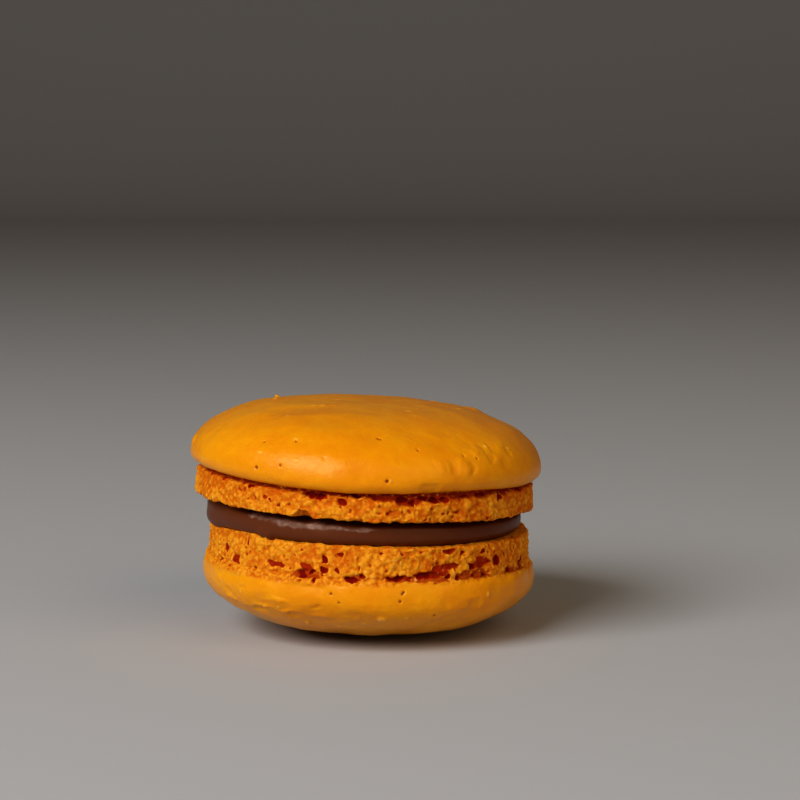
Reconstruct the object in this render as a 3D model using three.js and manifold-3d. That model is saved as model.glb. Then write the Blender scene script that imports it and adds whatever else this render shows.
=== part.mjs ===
// A french macaron: two baked almond meringue shells with chocolate ganache between them.
// Each shell is a smooth, round dome on a rough foot. The lower one lies dome down, so the
// macaron leans a little to the right and rests on a small flat spot. The upper one leans a
// little more, and the ganache between them is thicker on the left.
// Millimetres, +Z up, front towards -Y. Each shell is made dome up, with its foot on height 0.

import * as THREE from "three";
import { ImprovedNoise } from "three/addons/math/ImprovedNoise.js";
import { mergeVertices } from "three/addons/utils/BufferGeometryUtils.js";
import Module from "manifold-3d";

const wasm = await Module();
wasm.setup();

// ---- The whole macaron -------------------------------------------------------------
const LEAN = THREE.MathUtils.degToRad(2.2);
const UPPER_TILT = THREE.MathUtils.degToRad(0.8);
const LAYER_GAP = 0.3;
const FLAT_SPOT_DEPTH = 0.2;
const FLOOR_SIZE = 60;

// ---- Upper shell -------------------------------------------------------------------
const UPPER = {
  footBottomRadius: 21.7,
  seamRadius: 21.5,
  seamHeight: 3.65,
  rimRadius: 22.6,
  rimHeight: 5.1,
  apexHeight: 12.5,
  domeFullness: 3.0,
  waveShift: 11,
};
const UPPER_SHIFT = -0.9;

// ---- Lower shell -------------------------------------------------------------------
const LOWER = {
  footBottomRadius: 20.4,
  seamRadius: 20.7,
  seamHeight: 4.0,
  rimRadius: 21.5,
  rimHeight: 6.2,
  apexHeight: 13.75,
  domeFullness: 2.0,
  waveShift: 47,
};

// ---- Ganache -----------------------------------------------------------------------
const GANACHE_BOTTOM = LOWER.apexHeight + LAYER_GAP;
const GANACHE_THICKNESS = 2.75;
const GANACHE_INNER_RADIUS = 19.3;
const GANACHE_BULGE = 0.9;
const GANACHE_SHIFT = -0.85;
const UPPER_BOTTOM = GANACHE_BOTTOM + GANACHE_THICKNESS + LAYER_GAP;

// ---- Crags of the foot and waves of the dome: size and depth of each grain -----------
const FRILL = { size: 6.5, depth: 0.28 };
const CRAG = { size: 1.9, depth: 0.42 };
const CRUMB = { size: 1.0, depth: 0.3 };
const EDGE_RAG = { size: 2.4, depth: 0.26 };
const CREVICE = { size: 3.2, depth: 0.9, halfHeight: 0.8 };
const DOME_WAVE = { size: 13, depth: 0.1 };

// A chip out of the lower edge of the upper foot, at the front.
const CHIP = { bearing: THREE.MathUtils.degToRad(-109.8), halfWidth: 1.5, depth: 0.75 };

// A small nub of batter on the upper dome, behind its top on the left.
const NUB = { bearing: THREE.MathUtils.degToRad(151), distance: 14, radius: 0.5 };

// ---- Fineness of the facets ----------------------------------------------------------
const FOOT_SEGMENTS = 170;
const FOOT_ROWS = 8;
const DOME_SEGMENTS = 96;
const DOME_ROWS = 9;
const LIP_ROWS = 2;
const GANACHE_SEGMENTS = 96;
const GANACHE_ROWS = 6;

const noise = new ImprovedNoise();

// Smooth random relief from about -1 to 1 at a point, in grains of the given size.
function grain(point, { size }, shift) {
  return noise.noise(point.x / size + shift, point.y / size, point.z / size);
}

// Solid of revolution about Z from an outline of [radius, height] pairs.
function turned(outline, segments) {
  const points = outline.map(([radius, height]) => new THREE.Vector2(radius, height));
  const geometry = new THREE.LatheGeometry(points, segments);
  geometry.rotateX(Math.PI / 2);
  geometry.deleteAttribute("uv");
  geometry.deleteAttribute("normal");
  return mergeVertices(geometry, 1e-4);
}

// Moves each point of a geometry by what `shape` does to it.
function reshape(geometry, shape) {
  const position = geometry.getAttribute("position");
  const point = new THREE.Vector3();
  for (let i = 0; i < position.count; i += 1) {
    point.fromBufferAttribute(position, i);
    shape(point);
    position.setXYZ(i, point.x, point.y, point.z);
  }
  return geometry;
}

// Moves a point outwards, away from the Z axis.
function moveOut(point, distance) {
  const radius = Math.hypot(point.x, point.y);
  const scale = (radius + distance) / radius;
  point.x *= scale;
  point.y *= scale;
}

// Closed manifold solid from a three.js geometry, without its empty triangles at the poles.
function toSolid(geometry) {
  const corners = geometry.index.array;
  const triangles = [];
  for (let i = 0; i < corners.length; i += 3) {
    const [a, b, c] = corners.slice(i, i + 3);
    if (a !== b && b !== c && c !== a) triangles.push(a, b, c);
  }
  const mesh = new wasm.Mesh({
    numProp: 3,
    vertProperties: Float32Array.from(geometry.getAttribute("position").array),
    triVerts: Uint32Array.from(triangles),
  });
  return new wasm.Manifold(mesh);
}

function toGeometry(solid) {
  const mesh = solid.getMesh();
  const geometry = new THREE.BufferGeometry();
  geometry.setAttribute("position", new THREE.BufferAttribute(mesh.vertProperties, 3));
  geometry.setIndex(new THREE.BufferAttribute(mesh.triVerts, 1));
  geometry.computeVertexNormals();
  return geometry;
}

// ---- Foot ----------------------------------------------------------------------------

// Outline of the foot: flat underneath, straight side rows, and a top inside the dome.
function footOutline(shell) {
  const { footBottomRadius, seamRadius, seamHeight } = shell;
  const outline = [[0, 0], [footBottomRadius - 1.2, 0]];
  for (let row = 0; row <= FOOT_ROWS; row += 1) {
    const rise = row / FOOT_ROWS;
    const radius = THREE.MathUtils.lerp(footBottomRadius, seamRadius, rise);
    outline.push([radius, seamHeight * rise]);
  }
  outline.push([seamRadius - 0.9, seamHeight + 0.8], [0, seamHeight + 0.8]);
  return outline;
}

// Depth of the crevices that run just under the dome's lip.
function creviceDepth(point, shell) {
  const away = (point.z - shell.seamHeight + 0.5) / CREVICE.halfHeight;
  const reach = Math.max(0, 1 - away * away);
  return CREVICE.depth * reach * Math.max(0, grain(point, CREVICE, shell.waveShift + 9));
}

// Makes one point of the foot craggy. Only its side moves, and its lower edge is ragged.
function roughenFoot(point, shell, chip) {
  const sideRadius = Math.min(shell.footBottomRadius, shell.seamRadius);
  if (Math.hypot(point.x, point.y) < sideRadius - 0.1) return;
  const shift = shell.waveShift;
  const crags = CRAG.depth * grain(point, CRAG, shift) + CRUMB.depth * grain(point, CRUMB, shift);
  const frill = FRILL.depth * grain(point, FRILL, shift);
  const atEdge = Math.max(0, 1 - point.z / 0.9);
  const rag = EDGE_RAG.depth * grain(point, EDGE_RAG, shift + 5);
  const chipped = chip ? chipDepth(point) : 0;
  moveOut(point, crags + frill - creviceDepth(point, shell));
  point.z += atEdge * (rag + chipped);
}

// Height of the chip in the edge at this point's bearing.
function chipDepth(point) {
  const turn = Math.atan2(point.y, point.x) - CHIP.bearing;
  const across = (turn * UPPER.footBottomRadius) / CHIP.halfWidth;
  return CHIP.depth * Math.exp(-across * across);
}

function makeFoot(shell, chip) {
  const foot = turned(footOutline(shell), FOOT_SEGMENTS);
  return reshape(foot, (point) => roughenFoot(point, shell, chip));
}

// ---- Dome ----------------------------------------------------------------------------

// Height of the dome's skin at a distance from its axis. A fullness of 2 is an ellipse.
function domeHeight(shell, distance) {
  const { rimRadius, rimHeight, apexHeight, domeFullness } = shell;
  const fall = Math.min(1, distance / rimRadius) ** domeFullness;
  return rimHeight + (apexHeight - rimHeight) * Math.sqrt(1 - fall);
}

// Outline of the dome: flat inside the foot, a rounded lip out to the rim, then the dome.
function domeOutline(shell) {
  const { seamRadius, seamHeight, rimRadius, rimHeight } = shell;
  const outline = [[0, seamHeight], [seamRadius - 0.9, seamHeight]];
  for (let row = 0; row < LIP_ROWS; row += 1) {
    const turn = (row / LIP_ROWS) * (Math.PI / 2);
    const radius = seamRadius + (rimRadius - seamRadius) * Math.sin(turn);
    const height = rimHeight - (rimHeight - seamHeight) * Math.cos(turn);
    outline.push([radius, height]);
  }
  for (let row = 0; row < DOME_ROWS; row += 1) {
    const turn = (row / DOME_ROWS) * (Math.PI / 2);
    const radius = rimRadius * Math.cos(turn);
    outline.push([radius, domeHeight(shell, radius)]);
  }
  outline.push([0, shell.apexHeight]);
  return outline;
}

// Gives the dome its slow, uneven waves.
function waveDome(point, shell) {
  const wave = DOME_WAVE.depth * grain(point, DOME_WAVE, shell.waveShift);
  const radius = Math.hypot(point.x, point.y);
  if (radius > 1) moveOut(point, wave * (radius / shell.rimRadius));
  if (point.z > shell.rimHeight) point.z += wave;
}

function makeDome(shell) {
  return reshape(turned(domeOutline(shell), DOME_SEGMENTS), (point) => waveDome(point, shell));
}

// ---- The three pieces ------------------------------------------------------------------

function makeNub() {
  const nub = new THREE.IcosahedronGeometry(NUB.radius, 1);
  nub.deleteAttribute("uv");
  nub.deleteAttribute("normal");
  const joined = mergeVertices(nub, 1e-4);
  const x = NUB.distance * Math.cos(NUB.bearing);
  const y = NUB.distance * Math.sin(NUB.bearing);
  return joined.translate(x, y, domeHeight(UPPER, NUB.distance));
}

function makeUpperShell() {
  const pieces = [makeFoot(UPPER, true), makeDome(UPPER), makeNub()];
  for (const piece of pieces) {
    piece.rotateY(UPPER_TILT);
    piece.translate(UPPER_SHIFT, 0, UPPER_BOTTOM);
  }
  const [foot, dome, nub] = pieces.map(toSolid);
  return toGeometry(foot.add(dome).add(nub));
}

// A block whose top is level once the macaron leans. It takes the flat spot off the dome.
function makeFloor(leaning) {
  const up = new THREE.Vector3(0, 0, 1).applyAxisAngle(new THREE.Vector3(0, 1, 0), -LEAN);
  const position = leaning.getAttribute("position");
  const point = new THREE.Vector3();
  let lowest = Infinity;
  for (let i = 0; i < position.count; i += 1) {
    lowest = Math.min(lowest, point.fromBufferAttribute(position, i).dot(up));
  }
  const floor = new THREE.BoxGeometry(FLOOR_SIZE, FLOOR_SIZE, FLOOR_SIZE);
  floor.deleteAttribute("uv");
  floor.deleteAttribute("normal");
  floor.translate(0, 0, lowest + FLAT_SPOT_DEPTH - FLOOR_SIZE / 2);
  floor.rotateY(-LEAN);
  return mergeVertices(floor, 1e-4);
}

function makeLowerShell() {
  const foot = makeFoot(LOWER, false);
  const dome = makeDome(LOWER);
  for (const piece of [foot, dome]) {
    piece.rotateX(Math.PI);
    piece.translate(0, 0, LOWER.apexHeight);
  }
  const shell = toSolid(foot).add(toSolid(dome));
  return toGeometry(shell.subtract(toSolid(makeFloor(dome))));
}

// The ganache bulges between the shells. Its top tilts with the upper shell.
function makeGanache() {
  const outline = [[0, 0]];
  for (let row = 0; row <= GANACHE_ROWS; row += 1) {
    const rise = row / GANACHE_ROWS;
    const bulge = GANACHE_BULGE * (1 - Math.abs(2 * rise - 1) ** 3);
    outline.push([GANACHE_INNER_RADIUS + bulge, GANACHE_THICKNESS * rise]);
  }
  outline.push([0, GANACHE_THICKNESS]);
  const layer = reshape(turned(outline, GANACHE_SEGMENTS), (point) => {
    point.z -= point.x * Math.tan(UPPER_TILT) * (point.z / GANACHE_THICKNESS);
  });
  return layer.translate(GANACHE_SHIFT, 0, GANACHE_BOTTOM);
}

// ---- Scene graph -----------------------------------------------------------------------

const meringue = new THREE.MeshStandardMaterial({ color: 0xe89a20, roughness: 0.55, metalness: 0 });
const chocolate = new THREE.MeshStandardMaterial({ color: 0x4a271a, roughness: 0.35, metalness: 0 });

function named(name, geometry, material) {
  const mesh = new THREE.Mesh(geometry, material);
  mesh.name = name;
  return mesh;
}

const macaron = new THREE.Group();
macaron.name = "french_macaron";
macaron.add(
  named("upper_shell", makeUpperShell(), meringue),
  named("ganache", makeGanache(), chocolate),
  named("lower_shell", makeLowerShell(), meringue),
);
macaron.rotation.y = LEAN;
macaron.updateMatrixWorld(true);

// The origin is the middle of the macaron's box, on the floor.
const box = new THREE.Box3().setFromObject(macaron, true);
const middle = box.getCenter(new THREE.Vector3());
macaron.position.set(-middle.x, -middle.y, -box.min.z);

export default macaron;
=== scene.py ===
"""The looks of a french macaron: two orange meringue shells with dark ganache between them.

The macaron and the camera are measured in millimetres, which become metres through MM. The
floor, its backdrop and the lights are in metres. Each shell is modelled dome up with its foot on
height 0, in the macaron's own upright frame, and is put in its place in the leaning macaron at
the end. A place on a shell is named by its bearing round the shell's axis, in degrees, and its
height. The lower shell is turned upside down at the end, so its front is at bearing 90, not -90.
"""

import math
import random

import bpy
from mathutils import Matrix, Vector


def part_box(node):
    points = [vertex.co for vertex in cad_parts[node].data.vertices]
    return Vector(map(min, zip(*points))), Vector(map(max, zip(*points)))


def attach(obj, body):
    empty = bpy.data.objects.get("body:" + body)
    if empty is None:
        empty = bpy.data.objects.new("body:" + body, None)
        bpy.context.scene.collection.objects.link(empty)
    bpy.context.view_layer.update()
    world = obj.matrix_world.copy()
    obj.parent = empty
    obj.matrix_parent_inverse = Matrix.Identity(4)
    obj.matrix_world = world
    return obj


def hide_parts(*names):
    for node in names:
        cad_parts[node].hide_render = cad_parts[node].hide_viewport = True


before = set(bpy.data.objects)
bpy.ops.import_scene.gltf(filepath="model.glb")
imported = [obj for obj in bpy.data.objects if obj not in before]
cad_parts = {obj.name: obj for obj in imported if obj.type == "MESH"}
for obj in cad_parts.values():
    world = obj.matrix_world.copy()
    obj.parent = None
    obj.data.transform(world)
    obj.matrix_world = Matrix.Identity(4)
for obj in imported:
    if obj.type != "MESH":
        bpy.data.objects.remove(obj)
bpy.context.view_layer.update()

MM = 0.001

# ---- The macaron as it stands ------------------------------------------------
LEAN = math.radians(2.2)
UPPER_TILT = math.radians(0.8)
LAYER_GAP = 0.3

# A slow wave round a shell has its height, its number of crests and the bearing of one crest.
NO_WAVE = (0.0, 1, 0.0)

# What the less plain keys of a shell mean:
#   fullness         2 for a dome that is an ellipse from the side, more for a fuller one
#   neck             the sunk band of the foot under the dome's lip
#   neck_dips        where the neck reaches lower: bearing, half width, drop
#   neck_painted_shadow  how red the painted shade of the sunk neck under the lip is, where 1 is the
#   red painted into the deepest hollows
#   neck_shade       painted shade: how much less pale the crumb is towards the groove under the lip
#   hollow_depth     what the depths of the foot's hollows are multiplied by
#   skin_roughness   what the waves, the grain and the wrinkles of the skin are multiplied by
#   skin_edge        height where the foot's crumb gives way to skin, within skin_blend
#   edge_unevenness  how uneven that height is
#   edge_wave        the slow wave of that height
#   lip_wave         the slow wave of the dome's lip
#   edge_breaks      chips, or tufts below 0, of the foot's lower edge: bearing, half width, rise
#   front            the bearing that faces the camera
UPPER = {
    "name": "upper_shell_meringue",
    "foot_bottom_radius": 21.7,
    "seam_radius": 21.5,
    "seam_height": 3.65,
    "rim_radius": 22.6,
    "rim_height": 5.1,
    "apex_height": 12.5,
    "fullness": 3.0,
    "groove_depth": 0.7,
    "groove_bottom": 3.0,
    "neck_bottom": 3.0,
    "neck_depth": 0.6,
    "neck_dips": [(-106.5, 1.7, 0.45), (-94.0, 1.0, 0.2), (-83.0, 1.8, 0.55), (-74.5, 2.4, 1.1),
                  (-66.0, 1.8, 0.6), (-52.0, 4.5, 0.35), (-35.0, 1.6, 0.35)],
    "neck_painted_shadow": 0.32,
    "neck_shade": 0.2,
    "hollow_depth": 0.42,
    "skin_roughness": 1.3,
    "skin_edge": 3.6,
    "skin_blend": 0.12,
    "edge_unevenness": 0.25,
    "edge_wave": NO_WAVE,
    "lip_wave": (0.2, 3, -45.0),
    "edge_breaks": [(-109.3, 1.35, 0.85), (-5.0, 4.0, -0.35)],
    "front": -90.0,
    "seed": 11,
}
LOWER = {
    "name": "lower_shell_meringue",
    "foot_bottom_radius": 20.4,
    "seam_radius": 20.7,
    "seam_height": 4.0,
    "rim_radius": 21.5,
    "rim_height": 6.2,
    "apex_height": 13.75,
    "fullness": 2.0,
    "groove_depth": 0.1,
    "groove_bottom": 3.6,
    "neck_bottom": 4.1,
    "neck_depth": 0.28,
    "neck_dips": [(111.0, 2.4, 0.9), (94.0, 2.0, 0.65), (80.0, 1.8, 0.6), (68.0, 3.2, 1.1),
                  (50.0, 3.6, 1.2), (31.0, 2.0, 0.8), (21.0, 1.6, 1.2)],
    "neck_painted_shadow": 0.27,
    "neck_shade": -0.08,
    "hollow_depth": 0.34,
    "skin_roughness": 2.0,
    "skin_edge": 4.6,
    "skin_blend": 0.3,
    "edge_unevenness": 1.2,
    "edge_wave": (0.4, 2, 135.0),
    "lip_wave": NO_WAVE,
    "edge_breaks": [(138.0, 2.6, -0.3), (126.5, 0.8, 0.35)],
    "front": 90.0,
    "seed": 47,
}
UPPER_SHIFT = -0.9

GANACHE_SEED = 83
GANACHE_THICKNESS = 2.75
GANACHE_INNER_RADIUS = 19.3
GANACHE_BULGE = 0.9
GANACHE_SHIFT = -0.85
GANACHE_BOTTOM = LOWER["apex_height"] + LAYER_GAP
UPPER_BOTTOM = GANACHE_BOTTOM + GANACHE_THICKNESS + LAYER_GAP

# ---- Fineness of the modelling -----------------------------------------------
FOOT_STEP = 0.1
DOME_STEP = 0.28
TURN_STEPS = 1360
GANACHE_STEPS = 900
GANACHE_ROWS = 34
GANACHE_SIDE_POINTS = 6
SHELL_TRIANGLES = 198000
MERGE_DISTANCE = 0.0005 * MM
CUT_TOLERANCE = 0.0001 * MM


# ---- Marks of the shells -----------------------------------------------------
# Hollows of the feet, sunk and painted with red shade: bearing, height, half width, half height,
# depth.
UPPER["hollows"] = [
    (-154.0, 3.15, 0.4, 0.3, 0.5), (-145.0, 3.15, 0.5, 0.35, 0.6), (-134.3, 3.3, 0.5, 0.35, 0.8),
    (-130.6, 3.0, 0.55, 0.45, 1.0), (-107.5, 2.95, 0.85, 0.5, 1.1), (-104.0, 2.8, 0.75, 0.5, 1.1),
    (-96.6, 2.25, 0.55, 0.4, 0.8), (-93.5, 3.15, 1.3, 0.28, 1.0), (-85.0, 3.05, 0.9, 0.4, 0.5),
    (-77.0, 2.7, 0.9, 0.4, 1.0), (-73.9, 2.4, 0.6, 0.35, 0.9), (-69.6, 3.1, 0.7, 0.45, 1.2),
    (-65.9, 2.7, 0.7, 0.4, 1.1), (-62.0, 2.7, 0.5, 0.35, 0.7), (-54.3, 3.15, 0.7, 0.3, 0.8),
    (-47.0, 3.1, 1.2, 0.28, 0.9), (-38.3, 2.6, 0.5, 0.45, 0.9), (-35.5, 3.3, 0.6, 0.3, 0.9),
    (-24.0, 3.15, 0.7, 0.45, 0.8), (-121.5, 1.5, 0.3, 0.25, 0.5), (-118.0, 1.2, 0.3, 0.3, 0.5),
    (-124.0, 1.9, 0.35, 0.3, 0.5), (-82.0, 1.2, 0.4, 0.25, 0.4), (-58.0, 1.2, 0.5, 0.4, 0.45),
]
LOWER["hollows"] = [
    (149.6, 2.15, 0.5, 0.55, 0.7), (142.5, 3.45, 0.7, 0.6, 0.55), (137.0, 0.9, 0.3, 0.4, 0.6),
    (153.0, 3.9, 0.5, 0.5, 0.5), (123.5, 2.85, 1.5, 0.3, 0.6), (112.5, 3.9, 0.45, 0.55, 1.2),
    (109.3, 3.4, 0.5, 0.45, 0.9), (107.7, 4.3, 0.35, 0.3, 0.9), (105.0, 1.85, 0.4, 0.45, 1.0),
    (104.9, 3.05, 0.5, 0.4, 1.0), (111.5, 2.8, 0.8, 0.5, 0.5), (99.5, 1.05, 0.35, 0.3, 0.7),
    (99.9, 2.95, 0.4, 0.35, 0.7), (95.2, 4.0, 0.9, 0.4, 1.0), (91.3, 3.55, 0.5, 0.4, 0.7),
    (80.2, 3.7, 1.3, 0.26, 1.0), (70.4, 3.4, 1.1, 0.5, 0.9), (66.2, 4.35, 0.35, 0.35, 1.1),
    (61.6, 3.55, 0.4, 0.35, 0.8), (57.2, 3.8, 0.4, 0.35, 0.8), (59.8, 2.3, 1.1, 0.4, 0.55),
    (45.4, 4.0, 0.55, 0.5, 1.2), (50.3, 3.8, 0.4, 0.35, 0.7), (51.4, 2.5, 0.6, 0.5, 0.9),
    (39.3, 2.25, 0.75, 0.7, 1.0), (45.9, 0.9, 0.45, 0.3, 0.7), (55.3, 0.8, 0.3, 0.3, 0.6),
    (31.4, 3.8, 0.35, 0.8, 0.8), (20.5, 3.1, 0.7, 0.9, 0.9), (44.2, 2.2, 0.8, 0.5, 0.5),
    (78.3, 0.7, 0.3, 0.25, 0.5), (85.5, 0.75, 0.3, 0.25, 0.5), (64.5, 2.8, 1.4, 0.6, 0.48),
    (67.5, 3.3, 1.2, 0.5, 0.55), (47.7, 2.2, 1.3, 0.8, 0.45), (76.0, 3.6, 0.7, 0.3, 0.5),
]

# Pinholes of the skins: bearing, height, radius.
UPPER["pinholes"] = [
    (-125.8, 5.54, 0.2), (-117.1, 6.16, 0.15), (-82.8, 5.22, 0.21), (-85.6, 9.92, 0.16),
    (-84.7, 9.86, 0.16), (-114.7, 8.99, 0.15), (-126.7, 8.57, 0.15), (-71.9, 8.8, 0.14),
    (-55.9, 8.12, 0.13), (-51.1, 7.73, 0.14),
]
LOWER["pinholes"] = [
    (101.5, 5.72, 0.17), (77.7, 5.24, 0.18), (78.2, 5.44, 0.16), (78.8, 6.37, 0.17),
    (98.8, 6.77, 0.14), (66.2, 8.23, 0.15),
]

# Dents, below 0, and bumps of the skins: bearing, height, half width, half height, stand.
UPPER["bumps"] = [
    (151.0, 11.62, 0.5, 0.5, 0.42), (-69.0, 4.3, 1.7, 1.2, -0.2), (-126.5, 8.5, 0.5, 0.3, -0.05),
    (-114.1, 8.9, 0.8, 0.35, -0.05), (-172.0, 6.7, 1.1, 0.8, 0.2), (-168.0, 4.7, 1.0, 0.6, -0.1),
    (25.0, 11.3, 1.6, 1.2, 0.16), (-103.0, 7.5, 0.5, 0.4, -0.06), (-60.5, 7.0, 1.0, 1.4, -0.07),
    (-64.0, 7.2, 1.4, 1.4, 0.07), (-57.0, 6.9, 1.3, 1.7, 0.11), (-54.0, 6.7, 0.8, 1.3, -0.1),
    (-48.3, 8.2, 1.6, 1.8, 0.12), (-44.6, 7.9, 0.9, 1.7, -0.13), (-36.8, 8.6, 1.3, 1.3, 0.09),
    (-33.5, 8.2, 0.9, 1.3, -0.08), (-52.0, 9.4, 1.5, 1.0, -0.07), (-38.5, 6.9, 1.3, 1.1, -0.07),
]
LOWER["bumps"] = [
    (144.5, 7.3, 1.1, 0.6, -0.16), (135.6, 6.45, 0.8, 0.5, -0.12), (106.3, 7.6, 0.9, 0.5, -0.12),
    (52.0, 7.0, 1.5, 0.8, -0.14), (120.0, 7.1, 1.2, 0.4, 0.1), (131.0, 8.9, 1.5, 0.5, -0.16),
    (116.0, 8.9, 1.4, 0.5, -0.14), (150.0, 6.0, 0.9, 0.6, 0.1), (60.0, 8.6, 1.4, 0.6, -0.1),
]

# Wrinkled patches of the skins: bearing, height, half width, half height.
UPPER["wrinkles"] = [(-50.0, 8.0, 6.5, 3.4), (-118.0, 8.5, 6.0, 2.0), (-160.0, 9.0, 5.0, 2.5)]
LOWER["wrinkles"] = [(131.0, 8.2, 6.5, 2.0), (60.0, 7.6, 6.0, 2.0)]

# Pale flecks of dried batter on the skins: bearing, height, half width, half height, stand.
UPPER["flecks"] = [
    (-134.5, 12.2, 0.5, 0.4, 0.08), (-129.5, 12.27, 0.55, 0.4, 0.1),
    (-123.5, 12.34, 0.4, 0.4, 0.07), (-56.1, 12.23, 0.6, 0.5, 0.1), (178.0, 11.91, 0.3, 0.3, 0.12),
    (-129.5, 11.18, 0.3, 0.25, 0.1), (-81.6, 5.25, 0.25, 0.25, 0.1), (-115.3, 9.2, 0.4, 0.2, 0.06),
    (-43.6, 8.95, 0.45, 0.4, 0.08), (-32.6, 8.5, 0.35, 0.45, 0.08), (-175.8, 12.48, 0.5, 0.4, 0.06),
    (15.3, 12.48, 0.4, 0.4, 0.06), (-126.0, 7.3, 0.5, 0.2, 0.05), (-112.0, 6.9, 0.6, 0.25, 0.05),
]
LOWER["flecks"] = [
    (84.3, 8.73, 0.75, 0.6, 0.16), (46.1, 6.03, 0.3, 0.5, 0.1), (75.6, 8.53, 0.3, 0.3, 0.1),
    (126.8, 8.23, 0.25, 0.25, 0.12), (120.8, 8.12, 0.35, 0.2, 0.12), (119.0, 9.72, 0.3, 0.4, 0.12),
    (112.5, 10.05, 0.5, 0.35, 0.12), (100.0, 10.24, 0.5, 0.3, 0.1), (90.5, 9.6, 0.5, 0.3, 0.08),
    (136.8, 7.09, 0.25, 0.25, 0.1),
]

# Soft creases of the skins: bearing and height of each end, half width, stand.
UPPER["ridges"] = [
    (-43.6, 9.0, -45.3, 7.4, 0.7, 0.07), (-57.4, 7.7, -56.0, 6.2, 0.7, 0.06),
    (-34.0, 8.9, -32.0, 7.9, 0.7, 0.06), (-81.0, 7.9, -80.0, 6.9, 0.5, 0.04),
    (-81.0, 10.3, -72.0, 9.8, 0.5, 0.035), (-72.0, 10.9, -60.0, 9.8, 0.6, 0.035),
    (-66.0, 7.6, -65.0, 6.3, 0.7, 0.07), (-128.0, 7.6, -119.0, 7.2, 0.45, 0.04),
]
LOWER["ridges"] = [
    (146.0, 8.0, 135.0, 8.5, 0.6, 0.17), (134.0, 8.6, 126.0, 8.2, 0.55, 0.17),
    (124.0, 8.4, 112.0, 8.6, 0.6, 0.15), (108.0, 8.9, 92.0, 8.7, 0.6, 0.1),
    (128.0, 7.4, 117.0, 7.2, 0.5, 0.09), (60.0, 7.4, 40.0, 7.0, 0.7, 0.08),
    (112.0, 6.0, 111.0, 7.2, 0.5, 0.07),
]


# How many marks of each kind the far side of a shell gets, and how many degrees they spread
# from its middle.
FAR_MARKS = {"pinholes": 12, "flecks": 8, "ridges": 9, "hollows": 16, "neck_dips": 6,
             "wrinkles": 3}
FAR_SPREAD = 92.0


def scattered_marks(shell, kind, lowest, highest, seed):
    """Random bearings on a shell's far side, each with a number from lowest to highest."""
    draw = random.Random(seed)
    middle = shell["front"] + 180.0
    return [(middle + draw.uniform(-FAR_SPREAD, FAR_SPREAD), draw.uniform(lowest, highest))
            for _ in range(FAR_MARKS[kind])]


def finish_hidden_side(shell, seed):
    """Gives the far side of a shell the same kinds of marks as its front."""
    draw = random.Random(seed)
    seam, skin, top = shell["seam_height"], shell["skin_edge"], shell["apex_height"]
    for bearing, height in scattered_marks(shell, "pinholes", skin + 1.0, top - 0.6, seed + 1):
        shell["pinholes"].append((bearing, height, draw.uniform(0.13, 0.2)))
    for bearing, height in scattered_marks(shell, "flecks", skin + 1.5, top - 0.3, seed + 2):
        shell["flecks"].append((bearing, height, draw.uniform(0.25, 0.55), 0.3, 0.1))
    for bearing, height in scattered_marks(shell, "ridges", skin + 1.2, top - 1.5, seed + 3):
        turn, climb = draw.uniform(-6.0, 6.0), draw.uniform(0.6, 1.5)
        shell["ridges"].append((bearing, height, bearing + turn, height - climb, 0.45, 0.13))
    for bearing, height in scattered_marks(shell, "hollows", 0.8, seam - 0.3, seed + 4):
        width = draw.uniform(0.4, 1.2)
        shell["hollows"].append((bearing, height, width, draw.uniform(0.3, 0.5), 0.85))
    for bearing, luck in scattered_marks(shell, "neck_dips", 0.0, 1.0, seed + 6):
        shell["neck_dips"].append((bearing, draw.uniform(1.2, 3.0), 0.3 + 0.6 * luck))
    for bearing, height in scattered_marks(shell, "wrinkles", skin + 2.5, top - 3.0, seed + 5):
        shell["wrinkles"].append((bearing, height, 6.0, 2.2))


finish_hidden_side(UPPER, 301)
finish_hidden_side(LOWER, 401)


# ---- Node trees --------------------------------------------------------------

class Value:
    """A node's output. Python's operators on it add Math nodes to its tree."""

    def __init__(self, nodes, socket):
        self.nodes = nodes
        self.socket = socket

    def maths(self, operation, first, second=0.0):
        return self.nodes.add("ShaderNodeMath", {"operation": operation}, {0: first, 1: second})

    def output(self, name):
        """Another output of the same node."""
        return Value(self.nodes, self.socket.node.outputs[name])

    def __add__(self, other):
        return self.maths("ADD", self, other)

    def __radd__(self, other):
        return self.maths("ADD", other, self)

    def __sub__(self, other):
        return self.maths("SUBTRACT", self, other)

    def __rsub__(self, other):
        return self.maths("SUBTRACT", other, self)

    def __mul__(self, other):
        return self.maths("MULTIPLY", self, other)

    def __rmul__(self, other):
        return self.maths("MULTIPLY", other, self)

    def __truediv__(self, other):
        return self.maths("DIVIDE", self, other)

    def __rtruediv__(self, other):
        return self.maths("DIVIDE", other, self)

    def __pow__(self, other):
        return self.maths("POWER", self, other)

    def __abs__(self):
        return self.maths("ABSOLUTE", self)

    def cosine(self):
        return self.maths("COSINE", self)

    def at_most(self, other):
        return self.maths("MINIMUM", self, other)

    def at_least(self, other):
        return self.maths("MAXIMUM", self, other)


class Nodes:
    """A node tree that grows by one method."""

    def __init__(self, tree):
        self.tree = tree

    def add(self, kind, settings=None, sockets=None, output=0):
        """A new node. Its settings come first, then the values or links of its sockets."""
        node = self.tree.nodes.new(kind)
        for name, setting in (settings or {}).items():
            setattr(node, name, setting)
        for name, value in (sockets or {}).items():
            if isinstance(value, Value):
                self.tree.links.new(value.socket, node.inputs[name])
            else:
                node.inputs[name].default_value = value
        return Value(self, node.outputs[output]) if node.outputs else None


def rise(value, low, high):
    """0 below low, 1 above high, and a smooth slope between them. It falls if low > high."""
    return value.nodes.add("ShaderNodeMapRange", {"interpolation_type": "SMOOTHSTEP"},
                           {"Value": value, "From Min": low, "From Max": high})


# A seed shifts a pattern by these strides, so that no two seeds give the same pattern.
NOISE_STRIDE = 1.37
SHAKE_STRIDE = 2.11
GRAIN_STRIDES = (0.0131, 0.0077, 0.0053)

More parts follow.
